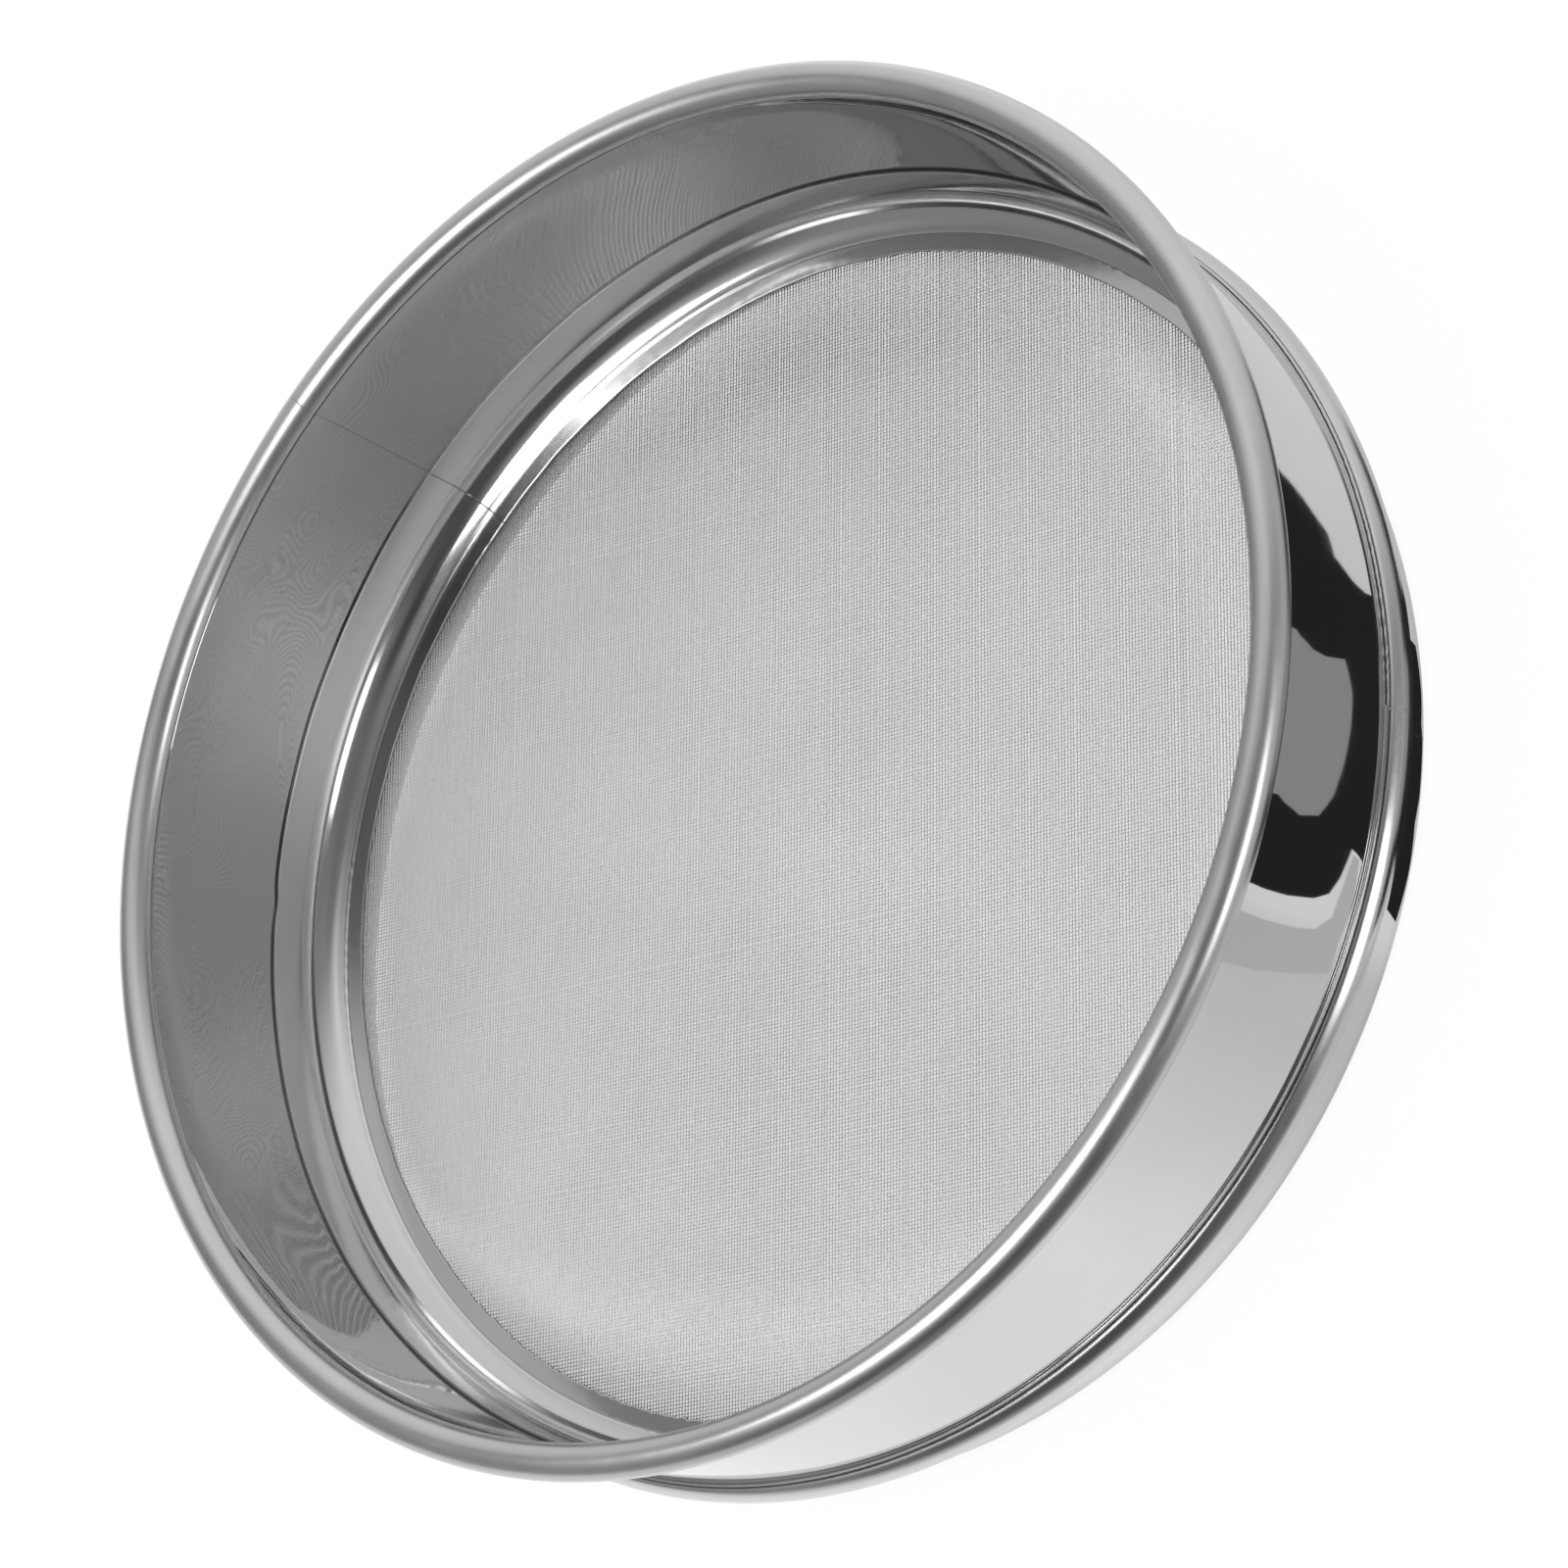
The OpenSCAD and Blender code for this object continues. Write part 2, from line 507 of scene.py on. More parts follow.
@dataclass(frozen=True)
class SteelFinish:
    """Bare stainless steel: a tint, a polish, and the marks of working and handling."""

    name: str
    tint: float = 0.68
    polish: float = 0.06
    polish_spread: float = 0.03
    streak_depth: float = 0.0
    streaks_along: float = 12.0
    streaks_across: float = 900.0
    wave_depth: float = 0.0
    wave_scale: float = 30.0
    pit_depth: float = 0.0
    pit_scale: float = 700.0
    scratch_depth: float = 0.0
    tint_spread: float = 0.02
    whorl_spread: float = 0.0
    place: Place = Place.SURFACE

    @cache
    def material(self) -> Material:
        """Builds the material once: bumps stacked one over another on a metal whose polish and tint drift.

        Returns:
            The material.
        """
        made, g = new_material(self.name)
        coordinates = g.add("ShaderNodeTexCoord")
        solid = coordinates.outputs["Object"]
        surface = coordinates.outputs["UV"] if self.place is Place.SURFACE else solid
        drift = DRIFT.over(g, solid)
        smear = SMEAR.over(g, surface)
        both = g.math("ADD", g.math("MULTIPLY", drift, 0.5), g.math("MULTIPLY", smear, 0.5))
        least, most = self.polish - self.polish_spread, self.polish + self.polish_spread
        rough = g.span(both, *POLISH_NOISE, least, most)
        shade = g.span(drift, *TINT_NOISE, self.tint - self.tint_spread, self.tint + self.tint_spread)
        if self.whorl_spread:
            shade = g.math("ADD", shade, self.whorls(g, solid))
        colour = g.add("ShaderNodeCombineColor", Red=shade, Green=shade, Blue=shade).outputs[0]
        shader = g.add("ShaderNodeBsdfPrincipled", Metallic=1.0, Roughness=rough, Base_Color=colour)
        normal = self.relief(g, solid, surface)
        if normal is not None:
            g.feed(shader, "Normal", normal)
        g.close("ShaderNodeOutputMaterial", shader)
        return made

    def relief(self, g: Graph, solid: Socket, surface: Socket) -> Socket | None:
        """Stacks the finish's soft waves, streaks, pits and scratches, each where it has a depth.

        Args:
            g: the material's graph.
            solid: the object's own coordinates.
            surface: the coordinates that the marks follow.

        Returns:
            The bent normal, or None for a finish without relief.
        """
        normal = None
        if self.wave_depth:
            normal = self.bump(g, Noise(self.wave_scale, 1.0).over(g, solid), self.wave_depth, normal)
        if self.streak_depth:
            lines = Noise(1.0, 3.0, 0.6, (self.streaks_along, self.streaks_across, 1.0)).over(g, surface)
            normal = self.bump(g, lines, self.streak_depth, normal)
        if self.pit_depth:
            cells = g.add("ShaderNodeTexVoronoi", Vector=solid, Scale=self.pit_scale)
            pits = g.span(cells.outputs["Distance"], 0.0, PIT_REACH, 0.0, 1.0)
            normal = self.bump(g, pits, self.pit_depth, normal)
        if self.scratch_depth:
            normal = self.bump(g, self.scratches(g, surface), self.scratch_depth, normal)
        return normal

    def bump(self, g: Graph, height: Socket, depth: float, below: Socket | None) -> Socket:
        """Lays one relief over another."""
        node = g.add("ShaderNodeBump", Height=height, Strength=1.0, Distance=depth * MM)
        if below is not None:
            g.feed(node, "Normal", below)
        return node.outputs[0]

    def whorls(self, g: Graph, solid: Socket) -> Socket:
        """Fine wavy lines like a fingerprint: the sine of many turns of a noise, fainter in some places.

        Args:
            g: the material's graph.
            solid: the object's own coordinates.

        Returns:
            What the lines add to the tint.
        """
        lines = g.math("SINE", g.math("MULTIPLY", WHORL_FIELD.over(g, solid), WHORL_TURNS))
        where = g.span(WHORL_PLACES.over(g, solid), *WHORL_PLACES_NOISE, WHORL_FAINT, 1.0)
        return g.math("MULTIPLY", g.math("MULTIPLY", lines, where), self.whorl_spread)

    def scratches(self, g: Graph, surface: Socket) -> Socket:
        """A few thin scattered lines.

        Args:
            g: the material's graph.
            surface: the coordinates that the scratches follow.

        Returns:
            The scratches' height, from 0 to 1.
        """
        off_middle = g.math("ABSOLUTE", g.math("SUBTRACT", SCRATCH_LINES.over(g, surface), 0.5))
        thin = g.span(off_middle, 0.0, SCRATCH_WIDTH, 1.0, 0.0)
        where = g.span(SCRATCH_PLACES.over(g, surface), *SCRATCH_PLACES_NOISE, 0.0, 1.0)
        return g.math("MULTIPLY", thin, where)


MIRROR = SteelFinish("mirror_wall", 0.68, 0.05, 0.02, wave_depth=0.004, wave_scale=45.0, scratch_depth=0.0003)
# The inside face is the same mirror steel with a lower tint, which is painted shade for the enclosed inner wall, and
# it has fingerprint lines
MIRROR_SHADED_INSIDE = replace(MIRROR, name="mirror_inside_painted_shade", tint=0.53, wave_depth=0.003, whorl_spread=0.055)
RIM = SteelFinish(
    "satin_rim", 0.66, 0.33, 0.05, streak_depth=0.0006, streaks_along=60.0, streaks_across=300.0, pit_depth=0.004,
    tint_spread=0.03,
)
SHELF = SteelFinish("pressed_shelf", 0.64, 0.13, 0.04, streak_depth=0.00012, streaks_across=350.0)
CRIMP = SteelFinish("burnished_crimp", 0.66, 0.24, 0.05, streak_depth=0.0001, streaks_across=350.0)
SKIRT = SteelFinish("polished_skirt", 0.68, 0.08, 0.03, wave_depth=0.004, scratch_depth=0.0006)
WELD = SteelFinish("ground_weld", 0.45, 0.1, 0.04)
# The weld's inside face: a dark joint, which is the weld's own colour, and a little darker than its outside, which is
# painted shade like the inner wall
WELD_SHADED_INSIDE = SteelFinish("ground_inside_painted_shade", 0.4, 0.12, 0.04)
WELD_SATIN = SteelFinish("ground_satin", 0.58, 0.3, 0.05)
SHEARED = SteelFinish("sheared_edge", 0.5, 0.36, 0.06, streak_depth=0.002)
# A very dark tint that paints shade into the crease under the wall and into the hollow beside the crimp's upturned
# edge
PAINTED_CREASE_SHADE = SteelFinish("crease_painted_shade", 0.24, 0.24, 0.04)
IRONED = SteelFinish("ironed_edge", 0.66, 0.16, 0.04, streak_depth=0.0001)
# The cloth's wires get a much brighter tint than the rest of the steel, which is painted light that lifts the cloth
WIRE_PAINTED_LIGHT = SteelFinish("cloth_wire_painted_light", 0.96, 0.42, 0.04, place=Place.SOLID)
HIDDEN = SteelFinish("drawn_wire", 0.55, 0.35, 0.06, place=Place.SOLID)


def turned_shell(
    name: str, loop: Loop, bearings: Array, finishes: tuple[SteelFinish, ...], shift: Shift | None = None
) -> Piece:
    """Carries a sheet's outline round the upright axis: radius times cosine and sine of the bearing, and height.

    The shell is open from the last bearing to the first, with a flat cap on each end.

    Args:
        name: the piece's name.
        loop: the sheet's closed outline.
        bearings: the bearings that it passes.
        finishes: the sheet's finishes, in the order of the outline's numbers.
        shift: gives how far each point moves outwards and upwards, from bearing and station.

    Returns:
        The new object.
    """
    first, last = bearings[0], bearings[-1]
    bearings = np.concatenate([[first, first + END_STRIP], bearings[1:-1], [last - END_STRIP, last]])
    k, m = len(loop.points), len(bearings)
    radius = np.repeat(loop.points[:, :1], m, 1)
    height = np.repeat(loop.points[:, 1:], m, 1)
    if shift is not None:
        out, up = shift(bearings[None, :], loop.station[:, None])
        radius = radius + out
        height = height + up
    a = np.radians(bearings)[None, :]
    points = np.stack([radius * np.cos(a), radius * np.sin(a), height], -1).reshape(-1, 3)
    faces = grid_faces(k, m, True, False)
    caps = [list(range((k - 1) * m, -1, -m)), list(range(m - 1, k * m, m))]
    if volume(points - points.mean(0), faces) < 0:
        faces = faces[:, ::-1]
        caps = [c[::-1] for c in caps]
    slot = np.repeat(np.maximum(loop.finish, np.roll(loop.finish, -1)), m - 1)
    slots = np.concatenate([slot, [0, 0]])
    materials = [finish.material() for finish in finishes]
    around_axis = np.repeat(a * float(loop.points[:, 0].mean()), k, 0)
    across = np.repeat((loop.station + np.where(loop.side < 0, INNER_MAP, 0.0))[:, None], m, 1)
    uv = np.stack([around_axis.ravel(), across.ravel()], 1) / MAP_SCALE
    return make_piece(name, points, faces.tolist() + caps, uv, materials, slots, len(caps))


@dataclass(frozen=True)
class Strip:
    """A strip of sheet bent to a ring, and the butt weld that closes it."""

    sheet: float = 0.4
    weld_at: float = 0.0
    weld_turn: float = 0.2
    weld_steps: int = 6

    def bearings(self, count: int) -> Array:
        """Bearings from one side of the weld round to its other side, in even steps."""
        half = self.weld_turn / 2
        return np.linspace(self.weld_at + half, self.weld_at + 360 - half, count + 1)

    def weld_bearings(self) -> Array:
        """Bearings across the weld, in even steps."""
        half = self.weld_turn / 2
        return np.linspace(self.weld_at - half, self.weld_at + half, self.weld_steps + 1)

    def ridge(self, bearing: Array, height: float) -> Array:
        """A low ridge over the weld: its height times half of one plus the cosine, nothing at both of its sides.

        Args:
            bearing: the bearings.
            height: its height in the middle.

        Returns:
            The rise at each bearing.
        """
        across = np.clip((bearing - self.weld_at) / self.weld_turn, -0.5, 0.5)
        return height * (1 + np.cos(2 * np.pi * across)) / 2


@dataclass(frozen=True)
class UpperHoop(Strip):
    """The strip that makes the rolled rim, the wall, the foot and the shelf, and the weld that closes it.

    A dent and a stretch have their bearings counted from the camera's side.
    """

    weld_at: float = 90.0
    weld_turn: float = 0.15
    rim_weld_dip: float = 0.035
    shelf_weld_rise: float = 0.05
    rim_at: Pair = (97.4, 45.6)
    rim_middle: float = 2.4
    rim_opens: float = -147.0
    rim_steps: int = 52
    rim_round: int = 880
    wall_outside: Points = (
        (95.2, 45.6), (95.44, 43.4), (95.56, 41.2), (95.5, 38.2), (95.29, 34), (95.06, 30), (94.81, 26),
        (94.56, 22), (94.3, 18), (94.06, 14), (93.95, 12.5), (93.9, 11.2),
    )
    wall_inside: Points = (
        (94.8, 45.6), (95.03, 43.4), (95.15, 41.2), (95.08, 38.2), (94.83, 34), (94.5, 30), (94.1, 26),
        (93.74, 23), (93.47, 21.1), (93.36, 20.2), (93.4, 16), (93.5, 11.2),
    )
    wall_steps: tuple[int, int] = (40, 56)
    wall_round: int = 900
    crease: Pair = (93.02, 21.0)
    base: Pair = (92.4, 15.45)
    band_steps: int = 14
    shoulder_at: Pair = (86.74, 16.45)
    shoulder: float = 5.75
    shoulder_starts: float = 80.0
    shoulder_points: int = 30
    lip_crease: float = 87.94
    lip_step: Points = ((0.1, 0.05), (0.25, 0.0))
    lip_flat_starts: float = 0.4
    lip_top: float = 10.7
    lip: float = 85.2
    lip_steps: int = 12
    shelf_round: int = 1040
    wall_waves: Waves = Waves(0.02, 3, 60, 12)
    dent_at: float = 208.5
    wall_dent: float = 0.02
    wall_dent_turn: float = 1.2
    wall_dent_down: float = 19.0
    wall_dent_reach: float = 6.0
    crease_dent: float = 0.35
    crease_dent_turn: float = 1.6
    crease_reach: float = 1.5
    crease_waves: Waves = Waves(0.06, 15, 70, 9)
    bend_burr: Waves = Waves(0.06, 18, 2.4, 0.7)
    bend_rough: tuple[Stretch, Stretch] = (Stretch(80, 107, 4), Stretch(190, 290, 8, 0.6))
    bend_reach: float = 0.3
    edge_reach: float = 2.6
    edge_waves: Waves = Waves(0.1, 5, 50, 5)
    edge_pulled: Stretch = Stretch(135, 164, 22, 0.35)
    edge_ragged: Waves = Waves(0.16, 17, 3.0, 0.9)
    edge_ragged_at: Stretch = Stretch(256, 292, 6)
    folds: Waves = Waves(0.014, 8, 3.0, 0.9)
    folds_at: Stretch = Stretch(167, 212, 3)
    fine_folds: Waves = Waves(0.004, 9, 5.0, 1.4)

    def rim_path(self) -> Array:
        """Middle of the rolled edge: an arc from the tucked end round over the top to the wall."""
        return arc(self.rim_at, self.rim_middle, self.rim_opens, 180, self.rim_steps)

    def wall_loop(self) -> Loop:
        """The wall's two faces: a soft belly under the rim, then a taper that steepens inside towards the crease."""
        outer, inner = self.wall_steps
        return faces_loop(smooth_line(self.wall_outside, outer), smooth_line(self.wall_inside, inner))

    def shelf_path(self) -> Array:
        """Middle of the band under the crease, the hollow shoulder and the lip, downwards and inwards.

        Returns:
            Its points.
        """
        half = self.sheet / 2
        (top, top_level), (foot, foot_level) = self.crease, self.base
        band = np.linspace((top + half, top_level), (foot + half, foot_level), self.band_steps + 1)
        last = math.degrees(math.asin((self.lip_crease - self.shoulder_at[0]) / self.shoulder))
        turn = np.radians(np.linspace(self.shoulder_starts, last, self.shoulder_points))
        reach = self.shoulder + half
        hollow = np.stack([np.sin(turn), -np.cos(turn)], 1) * reach + np.array(self.shoulder_at)
        level = self.lip_top - half
        step = np.array([self.lip_crease, level]) - np.array(self.lip_step)
        starts = self.lip_crease - self.lip_flat_starts
        flat = np.linspace((starts, level), (self.lip, level), self.lip_steps + 1)
        return joined(band[:-1], hollow, step, flat)

    def wall_shift(self, bearing: Array, station: Array) -> tuple[Array, Array]:
        """Slow ripples that die out at the wall's two ends, and a shallow dent.

        Args:
            bearing: the bearings.
            station: distance down the wall.

        Returns:
            How far each point moves outwards and upwards.
        """
        length = self.rim_at[1] - self.crease[1]
        held = np.sin(np.pi * np.clip(station / length, 0, 1))
        down = np.exp(-(((station - self.wall_dent_down) / self.wall_dent_reach) ** 2))
        dent = self.wall_dent * around(bearing, CAMERA_SIDE + self.dent_at, self.wall_dent_turn) * down
        out = held * self.wall_waves.at(bearing) + dent
        return out, np.zeros_like(out)

    def shelf_shift(self, bearing: Array, station: Array) -> tuple[Array, Array]:
        """The lip's wavy edge and the fine folds across it, the crease's waves and dent, and a burr along the bend.

        Args:
            bearing: the bearings.
            station: distance along the shelf from the crease.

        Returns:
            How far each point moves outwards and upwards.
        """
        end = distances(self.shelf_path())[-1]
        seen = bearing - CAMERA_SIDE
        lip = ease((station - (end - self.edge_reach)) / self.edge_reach)
        edge = self.edge_waves.at(bearing) - self.edge_pulled.at(seen)
        edge = edge + self.edge_ragged.at(bearing) * self.edge_ragged_at.at(seen)
        folds = self.folds.at(bearing) * self.folds_at.at(seen) + self.fine_folds.at(bearing)
        top = np.clip(1 - station / self.crease_reach, 0, 1)
        dent = self.crease_dent * around(bearing, CAMERA_SIDE + self.dent_at, self.crease_dent_turn)
        wave = self.crease_waves.at(bearing) - dent
        bend = end - self.lip_crease + self.lip
        bent = np.exp(-(((station - bend) / self.bend_reach) ** 2))
        burr = self.bend_burr.at(bearing) * sum(part.at(seen) for part in self.bend_rough)
        return lip * edge, lip * folds + top * wave + bent * burr

    def rim_weld_shift(self, bearing: Array, station: Array) -> tuple[Array, Array]:
        """The rim's weld lies a little low."""
        rise = self.ridge(bearing, -self.rim_weld_dip)
        return np.zeros_like(rise), rise

    def shelf_weld_shift(self, bearing: Array, station: Array) -> tuple[Array, Array]:
        """The shelf's own shift, and the weld's ridge, which leans inwards as much as it rises."""
        out, up = self.shelf_shift(bearing, station)
        rise = self.ridge(bearing, self.shelf_weld_rise)
        return out - rise, up + rise

    def build(self) -> list[Piece]:
        """Makes the rim, the wall, the shelf and the welds.

        Returns:
            The pieces.
        """
        across = self.weld_bearings()
        rim_loop = sheet_loop(self.rim_path(), self.sheet, ends=(1, 0))
        wall_loop = self.wall_loop()
        # The shelf's top cut edge, at the crease against the wall, takes finish 2, the painted crease shade
        shelf_loop = sheet_loop(self.shelf_path(), self.sheet, thin_front=2, ends=(2, 1))
        wall_turn, shelf_turn = self.bearings(self.wall_round), self.bearings(self.shelf_round)
        shelf_look = (SHELF, SHEARED, PAINTED_CREASE_SHADE)
        rim = turned_shell("rolled_rim", rim_loop, self.bearings(self.rim_round), (RIM, SHEARED))
        wall = turned_shell("polished_wall", wall_loop, wall_turn, (MIRROR, MIRROR_SHADED_INSIDE), self.wall_shift)
        shelf = turned_shell("cloth_shelf", shelf_loop, shelf_turn, shelf_look, self.shelf_shift)
        welds = [
            turned_shell("rim_weld", rim_loop, across, (WELD_SATIN,) * 3, self.rim_weld_shift),
            turned_shell("wall_weld", wall_loop, across, (WELD, WELD_SHADED_INSIDE), self.wall_shift),
            turned_shell("shelf_weld", shelf_loop, across, (WELD,) * 3, self.shelf_weld_shift),
        ]
        for piece in (rim, wall, shelf):
            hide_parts("upper_hoop")
        for weld in welds:
            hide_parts("hoop_seam")
        return [rim, wall, shelf, *welds]


@dataclass(frozen=True)
class LowerRing(Strip):
    """The strip under the hoop: the skirt, the fold that carries the cloth, the gutter and the crimped side.

    Each turn has a radius, two angles and its steps. The drop in the raw edge is counted from the weld.
    """

    weld_at: float = -47.4
    weld_turn: float = 0.3
    skirt_middle: float = 91.7
    skirt_foot: float = 0.07
    skirt_steps: int = 12
    skirt_round: int = 900
    fold_at: Pair = (92.1, 9.3)
    fold_middle: float = 0.4
    fold_steps: int = 8
    gutter_floor: float = 8.15
    gutter_middle: float = 0.85
    gutter_steps: int = 7
    bead_starts: float = 94.18
    bead_rise: float = 0.4
    bead_below: Turns = ((1.6, -90, 0, 20),)
    bead_above: Turns = ((1.6, 0, 22, 7), (4.3, 22, 42, 12), (0.7, 42, 88, 9))
    edge_bend: Turns = ((0.22, 268, 180, 6),)
    edge_height: float = 0.93
    edge_lean: float = 0.03
    edge_steps: int = 6
    hollow_margins: Pair = (0.08, 0.12)
    crimp_round: int = 860
    edge_reach: float = 1.0
    edge_waves: Waves = Waves(0.06, 11, 40, 6)
    edge_burr: Waves = Waves(0.1, 12, 1.8, 0.7)
    edge_drop_at: Stretch = Stretch(0, 120, 60)
    edge_drop: float = 0.7
    edge_out: float = 0.04

    def skirt_path(self) -> Array:
        """Middle of the skirt, upwards from the resting edge."""
        foot, top = (self.skirt_middle, self.skirt_foot), (self.skirt_middle, self.fold_at[1])
        return np.linspace(foot, top, self.skirt_steps + 1)

    def crimp_path(self) -> Array:
        """Middle of the fold, the gutter, the rounded bead and the edge that turns up against the wall.

        Returns:
            Its points.
        """
        inner = self.fold_at[0] + self.fold_middle
        gutter_at = (inner + self.gutter_middle, self.gutter_floor + self.gutter_middle)
        fold = arc(self.fold_at, self.fold_middle, 180, 0, self.fold_steps)
        gutter = arc(gutter_at, self.gutter_middle, 180, 270, self.gutter_steps)
        below = chained((self.bead_starts, self.gutter_floor), self.bead_below)
        above = chained((below[-1][0], below[-1][1] + self.bead_rise), self.bead_above)
        bend = chained(tuple(above[-1]), self.edge_bend)
        edge = np.linspace(bend[-1], bend[-1] + (self.edge_lean, self.edge_height), self.edge_steps + 1)
        return joined(fold, gutter, below, above, bend, edge)

    def crimp_loop(self) -> Loop:
        """The crimp's outline, with the hollow between its bead and its upturned edge numbered 2 outside, for painted
        shade there.

        Returns:
            The outline.
        """
        loop = sheet_loop(self.crimp_path(), self.sheet, thin_front=3)
        radius, first, last, _ = self.edge_bend[0]
        ends = loop.station.max() - self.edge_height
        starts = ends - radius * math.radians(first - last)
        before, after = self.hollow_margins
        hollow = (loop.side < 0) & (loop.station > starts - before) & (loop.station < ends + after)
        return replace(loop, finish=np.where(hollow, 2, loop.finish))

    def crimp_shift(self, bearing: Array, station: Array) -> tuple[Array, Array]:
        """The raw edge steps down past the weld and is ragged there.

        Args:
            bearing: the bearings.
            station: distance along the strip from the fold.

        Returns:
            How far each point moves outwards and upwards.
        """
        end = distances(self.crimp_path())[-1]
        edge = ease((station - (end - self.edge_reach)) / self.edge_reach)
        turn = (bearing - self.weld_at) % 360
        past = self.edge_drop_at.at(turn) * (turn < 180)
        wave = self.edge_waves.at(bearing) + past * self.edge_burr.at(bearing)
        return edge * (self.edge_out * past), edge * (wave - self.edge_drop * past)

    def build(self) -> list[Piece]:
        """Makes the skirt, the crimp and the weld.

        Returns:
            The pieces.
        """
        skirt_loop = sheet_loop(self.skirt_path(), self.sheet)
        skirt = turned_shell("skirt", skirt_loop, self.bearings(self.skirt_round), (SKIRT, SHEARED))
        crimp_turn, crimp_look = self.bearings(self.crimp_round), (CRIMP, IRONED, PAINTED_CREASE_SHADE)
        crimp = turned_shell("crimped_side", self.crimp_loop(), crimp_turn, crimp_look, self.crimp_shift)
        weld_loop = sheet_loop(joined(self.skirt_path(), self.crimp_path()), self.sheet)
        weld = turned_shell("ring_weld", weld_loop, self.weld_bearings(), (WELD_SATIN,) * 2)
        for piece in (skirt, crimp):
            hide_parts("lower_ring")
        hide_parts("ring_seam")
        return [skirt, crimp, weld]


@dataclass(frozen=True)
class Cloth:
    """The woven cloth: two sets of fine wires, square to each other."""

    pitch: float = 0.514
    wire: float = 0.2
    reach: float = 92.02
    turn: float = 45.25
    middle: float = 10.1
    crossing_lift: float = 0.05
    wander: float = 0.012
    stations: int = 7
    sides: int = 6
    seeds: tuple[int, int] = (21, 22)

    def layer(self, name: str, node: str, turn: float, lift: float, seed: int) -> Piece:
        """One set of parallel wires: each is a thin many-sided tube that wanders a little sideways.

        Args:
            name: the piece's name.
            node: the solid that it stands for.
            turn: the wires' bearing.
            lift: how far its middle lies above the cloth's middle.
            seed: picks how the wires wander.

        Returns:
            The piece.
        """
        rng = np.random.default_rng(seed)
        half = int((self.reach - self.wire) / self.pitch)
        offset = np.arange(-half, half + 1) * self.pitch
        count, steps, sides = len(offset), self.stations, self.sides
        length = np.sqrt(self.reach**2 - offset**2)
        along = length[:, None] * np.linspace(-1, 1, steps)[None, :]
        sideways = offset[:, None] + np.cumsum(rng.normal(0, self.wander, (count, steps)), 1)
        ring = np.radians(np.arange(sides) * 360 / sides)
        radius = self.wire / 2
        x = np.repeat(along[:, :, None], sides, 2)
        y = sideways[:, :, None] + radius * np.cos(ring)
        z = np.full((count, steps, 1), self.middle + lift) + radius * np.sin(ring)
        a = math.radians(turn)
        points = np.stack([x * math.cos(a) - y * math.sin(a), x * math.sin(a) + y * math.cos(a), z], -1)
        tube = grid_faces(steps, sides, False, True)
        first = (np.arange(count) * steps * sides)[:, None, None]
        faces = (tube[None] + first).reshape(-1, 4)
        caps = np.arange(sides)[None, :] + first[:, 0]
        ends = np.concatenate([caps, caps[:, ::-1] + (steps - 1) * sides])
        flat = points.reshape(-1, 3)
        if volume(flat, faces) < 0:
            faces, ends = faces[:, ::-1], ends[:, ::-1]
        all_faces = faces.tolist() + ends.tolist()
        piece = make_piece(name, flat, all_faces, None, [WIRE_PAINTED_LIGHT.material()], None, len(ends))
        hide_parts(node)
        return piece

    def build(self) -> list[Piece]:
        """Makes both sets of wires.

        Returns:
            The pieces.
        """
        return [
            self.layer("cloth_warp", "mesh_warp", self.turn, self.crossing_lift, self.seeds[0]),
            self.layer("cloth_weft", "mesh_weft", self.turn + 90, -self.crossing_lift, self.seeds[1]),
        ]


@dataclass(frozen=True)
class Viewpoint:
    """The photograph's camera, as turns and distances about the middle of the cloth.

    The focal length, the picture's width and its slide are in the photograph's pixels.
    """

    rise: float = 48.197
    roll: float = 65.345
    distance: float = 840.36
    focal_pixels: float = 6125.1
    picture: float = 1600.0
    slide: Pair = (39.37, 41.16)
    cloth_height: float = 10.3
    sensor: float = 36.0
    nearest: float = 50.0

    def axes(self) -> tuple[Vector, Vector, Vector]:
        """The picture's rightward and upward directions and the direction back to the camera."""
        rise, roll, side = (math.radians(v) for v in (self.rise, self.roll, CAMERA_SIDE))
        turn = Matrix.Rotation(side, 3, "Z")
        back = turn @ Vector((math.cos(rise), 0, math.sin(rise)))
        up = turn @ Vector((-math.sin(rise), 0, math.cos(rise)))
        right = turn @ Vector((0, 1, 0))
        across = right * math.cos(roll) - up * math.sin(roll)
        upward = right * math.sin(roll) + up * math.cos(roll)
        return across, upward, back

    def place(self) -> Piece:
        """Makes the camera and sets it as the scene's.

        Returns:
            The camera.
        """
        across, upward, back = self.axes()
        pixel = self.distance / self.focal_pixels
        spot = back * self.distance - across * self.slide[0] * pixel + upward * self.slide[1] * pixel
        spot = (spot + Vector((0, 0, self.cloth_height))) * MM
        data = bpy.data.cameras.new("photograph")
        data.sensor_width = self.sensor
        data.lens = self.focal_pixels / self.picture * self.sensor
        data.clip_start = self.nearest * MM
        camera = new_object("photograph", data)
        turn = Matrix((across, upward, back)).transposed().to_4x4()
        camera.matrix_world = Matrix.Translation(spot) @ turn
        bpy.context.scene.camera = camera
        return camera


@dataclass(frozen=True)
class Lamp:
    """A soft rectangular lamp that faces the sieve, its lengths in metres and its power in watts."""

    name: str
    bearing: float
    rise: float
    distance: float
    size: Pair
    power: float

    def place(self) -> Piece:
        """Makes the lamp, at its bearing from the camera's side and its rise above the horizon.

        Returns:
            The lamp.
        """
        data = bpy.data.lights.new(self.name, "AREA")
        data.shape = "RECTANGLE"
        data.size, data.size_y = self.size
        data.energy = self.power
        lamp = new_object(self.name, data)
        b, r = math.radians(self.bearing + CAMERA_SIDE), math.radians(self.rise)
        way = Vector((math.cos(b) * math.cos(r), math.sin(b) * math.cos(r), math.sin(r)))
        turn = way.to_track_quat("Z", "Y").to_matrix().to_4x4()
        lamp.matrix_world = Matrix.Translation(way * self.distance) @ turn
        lamp.visible_camera = False
        return lamp


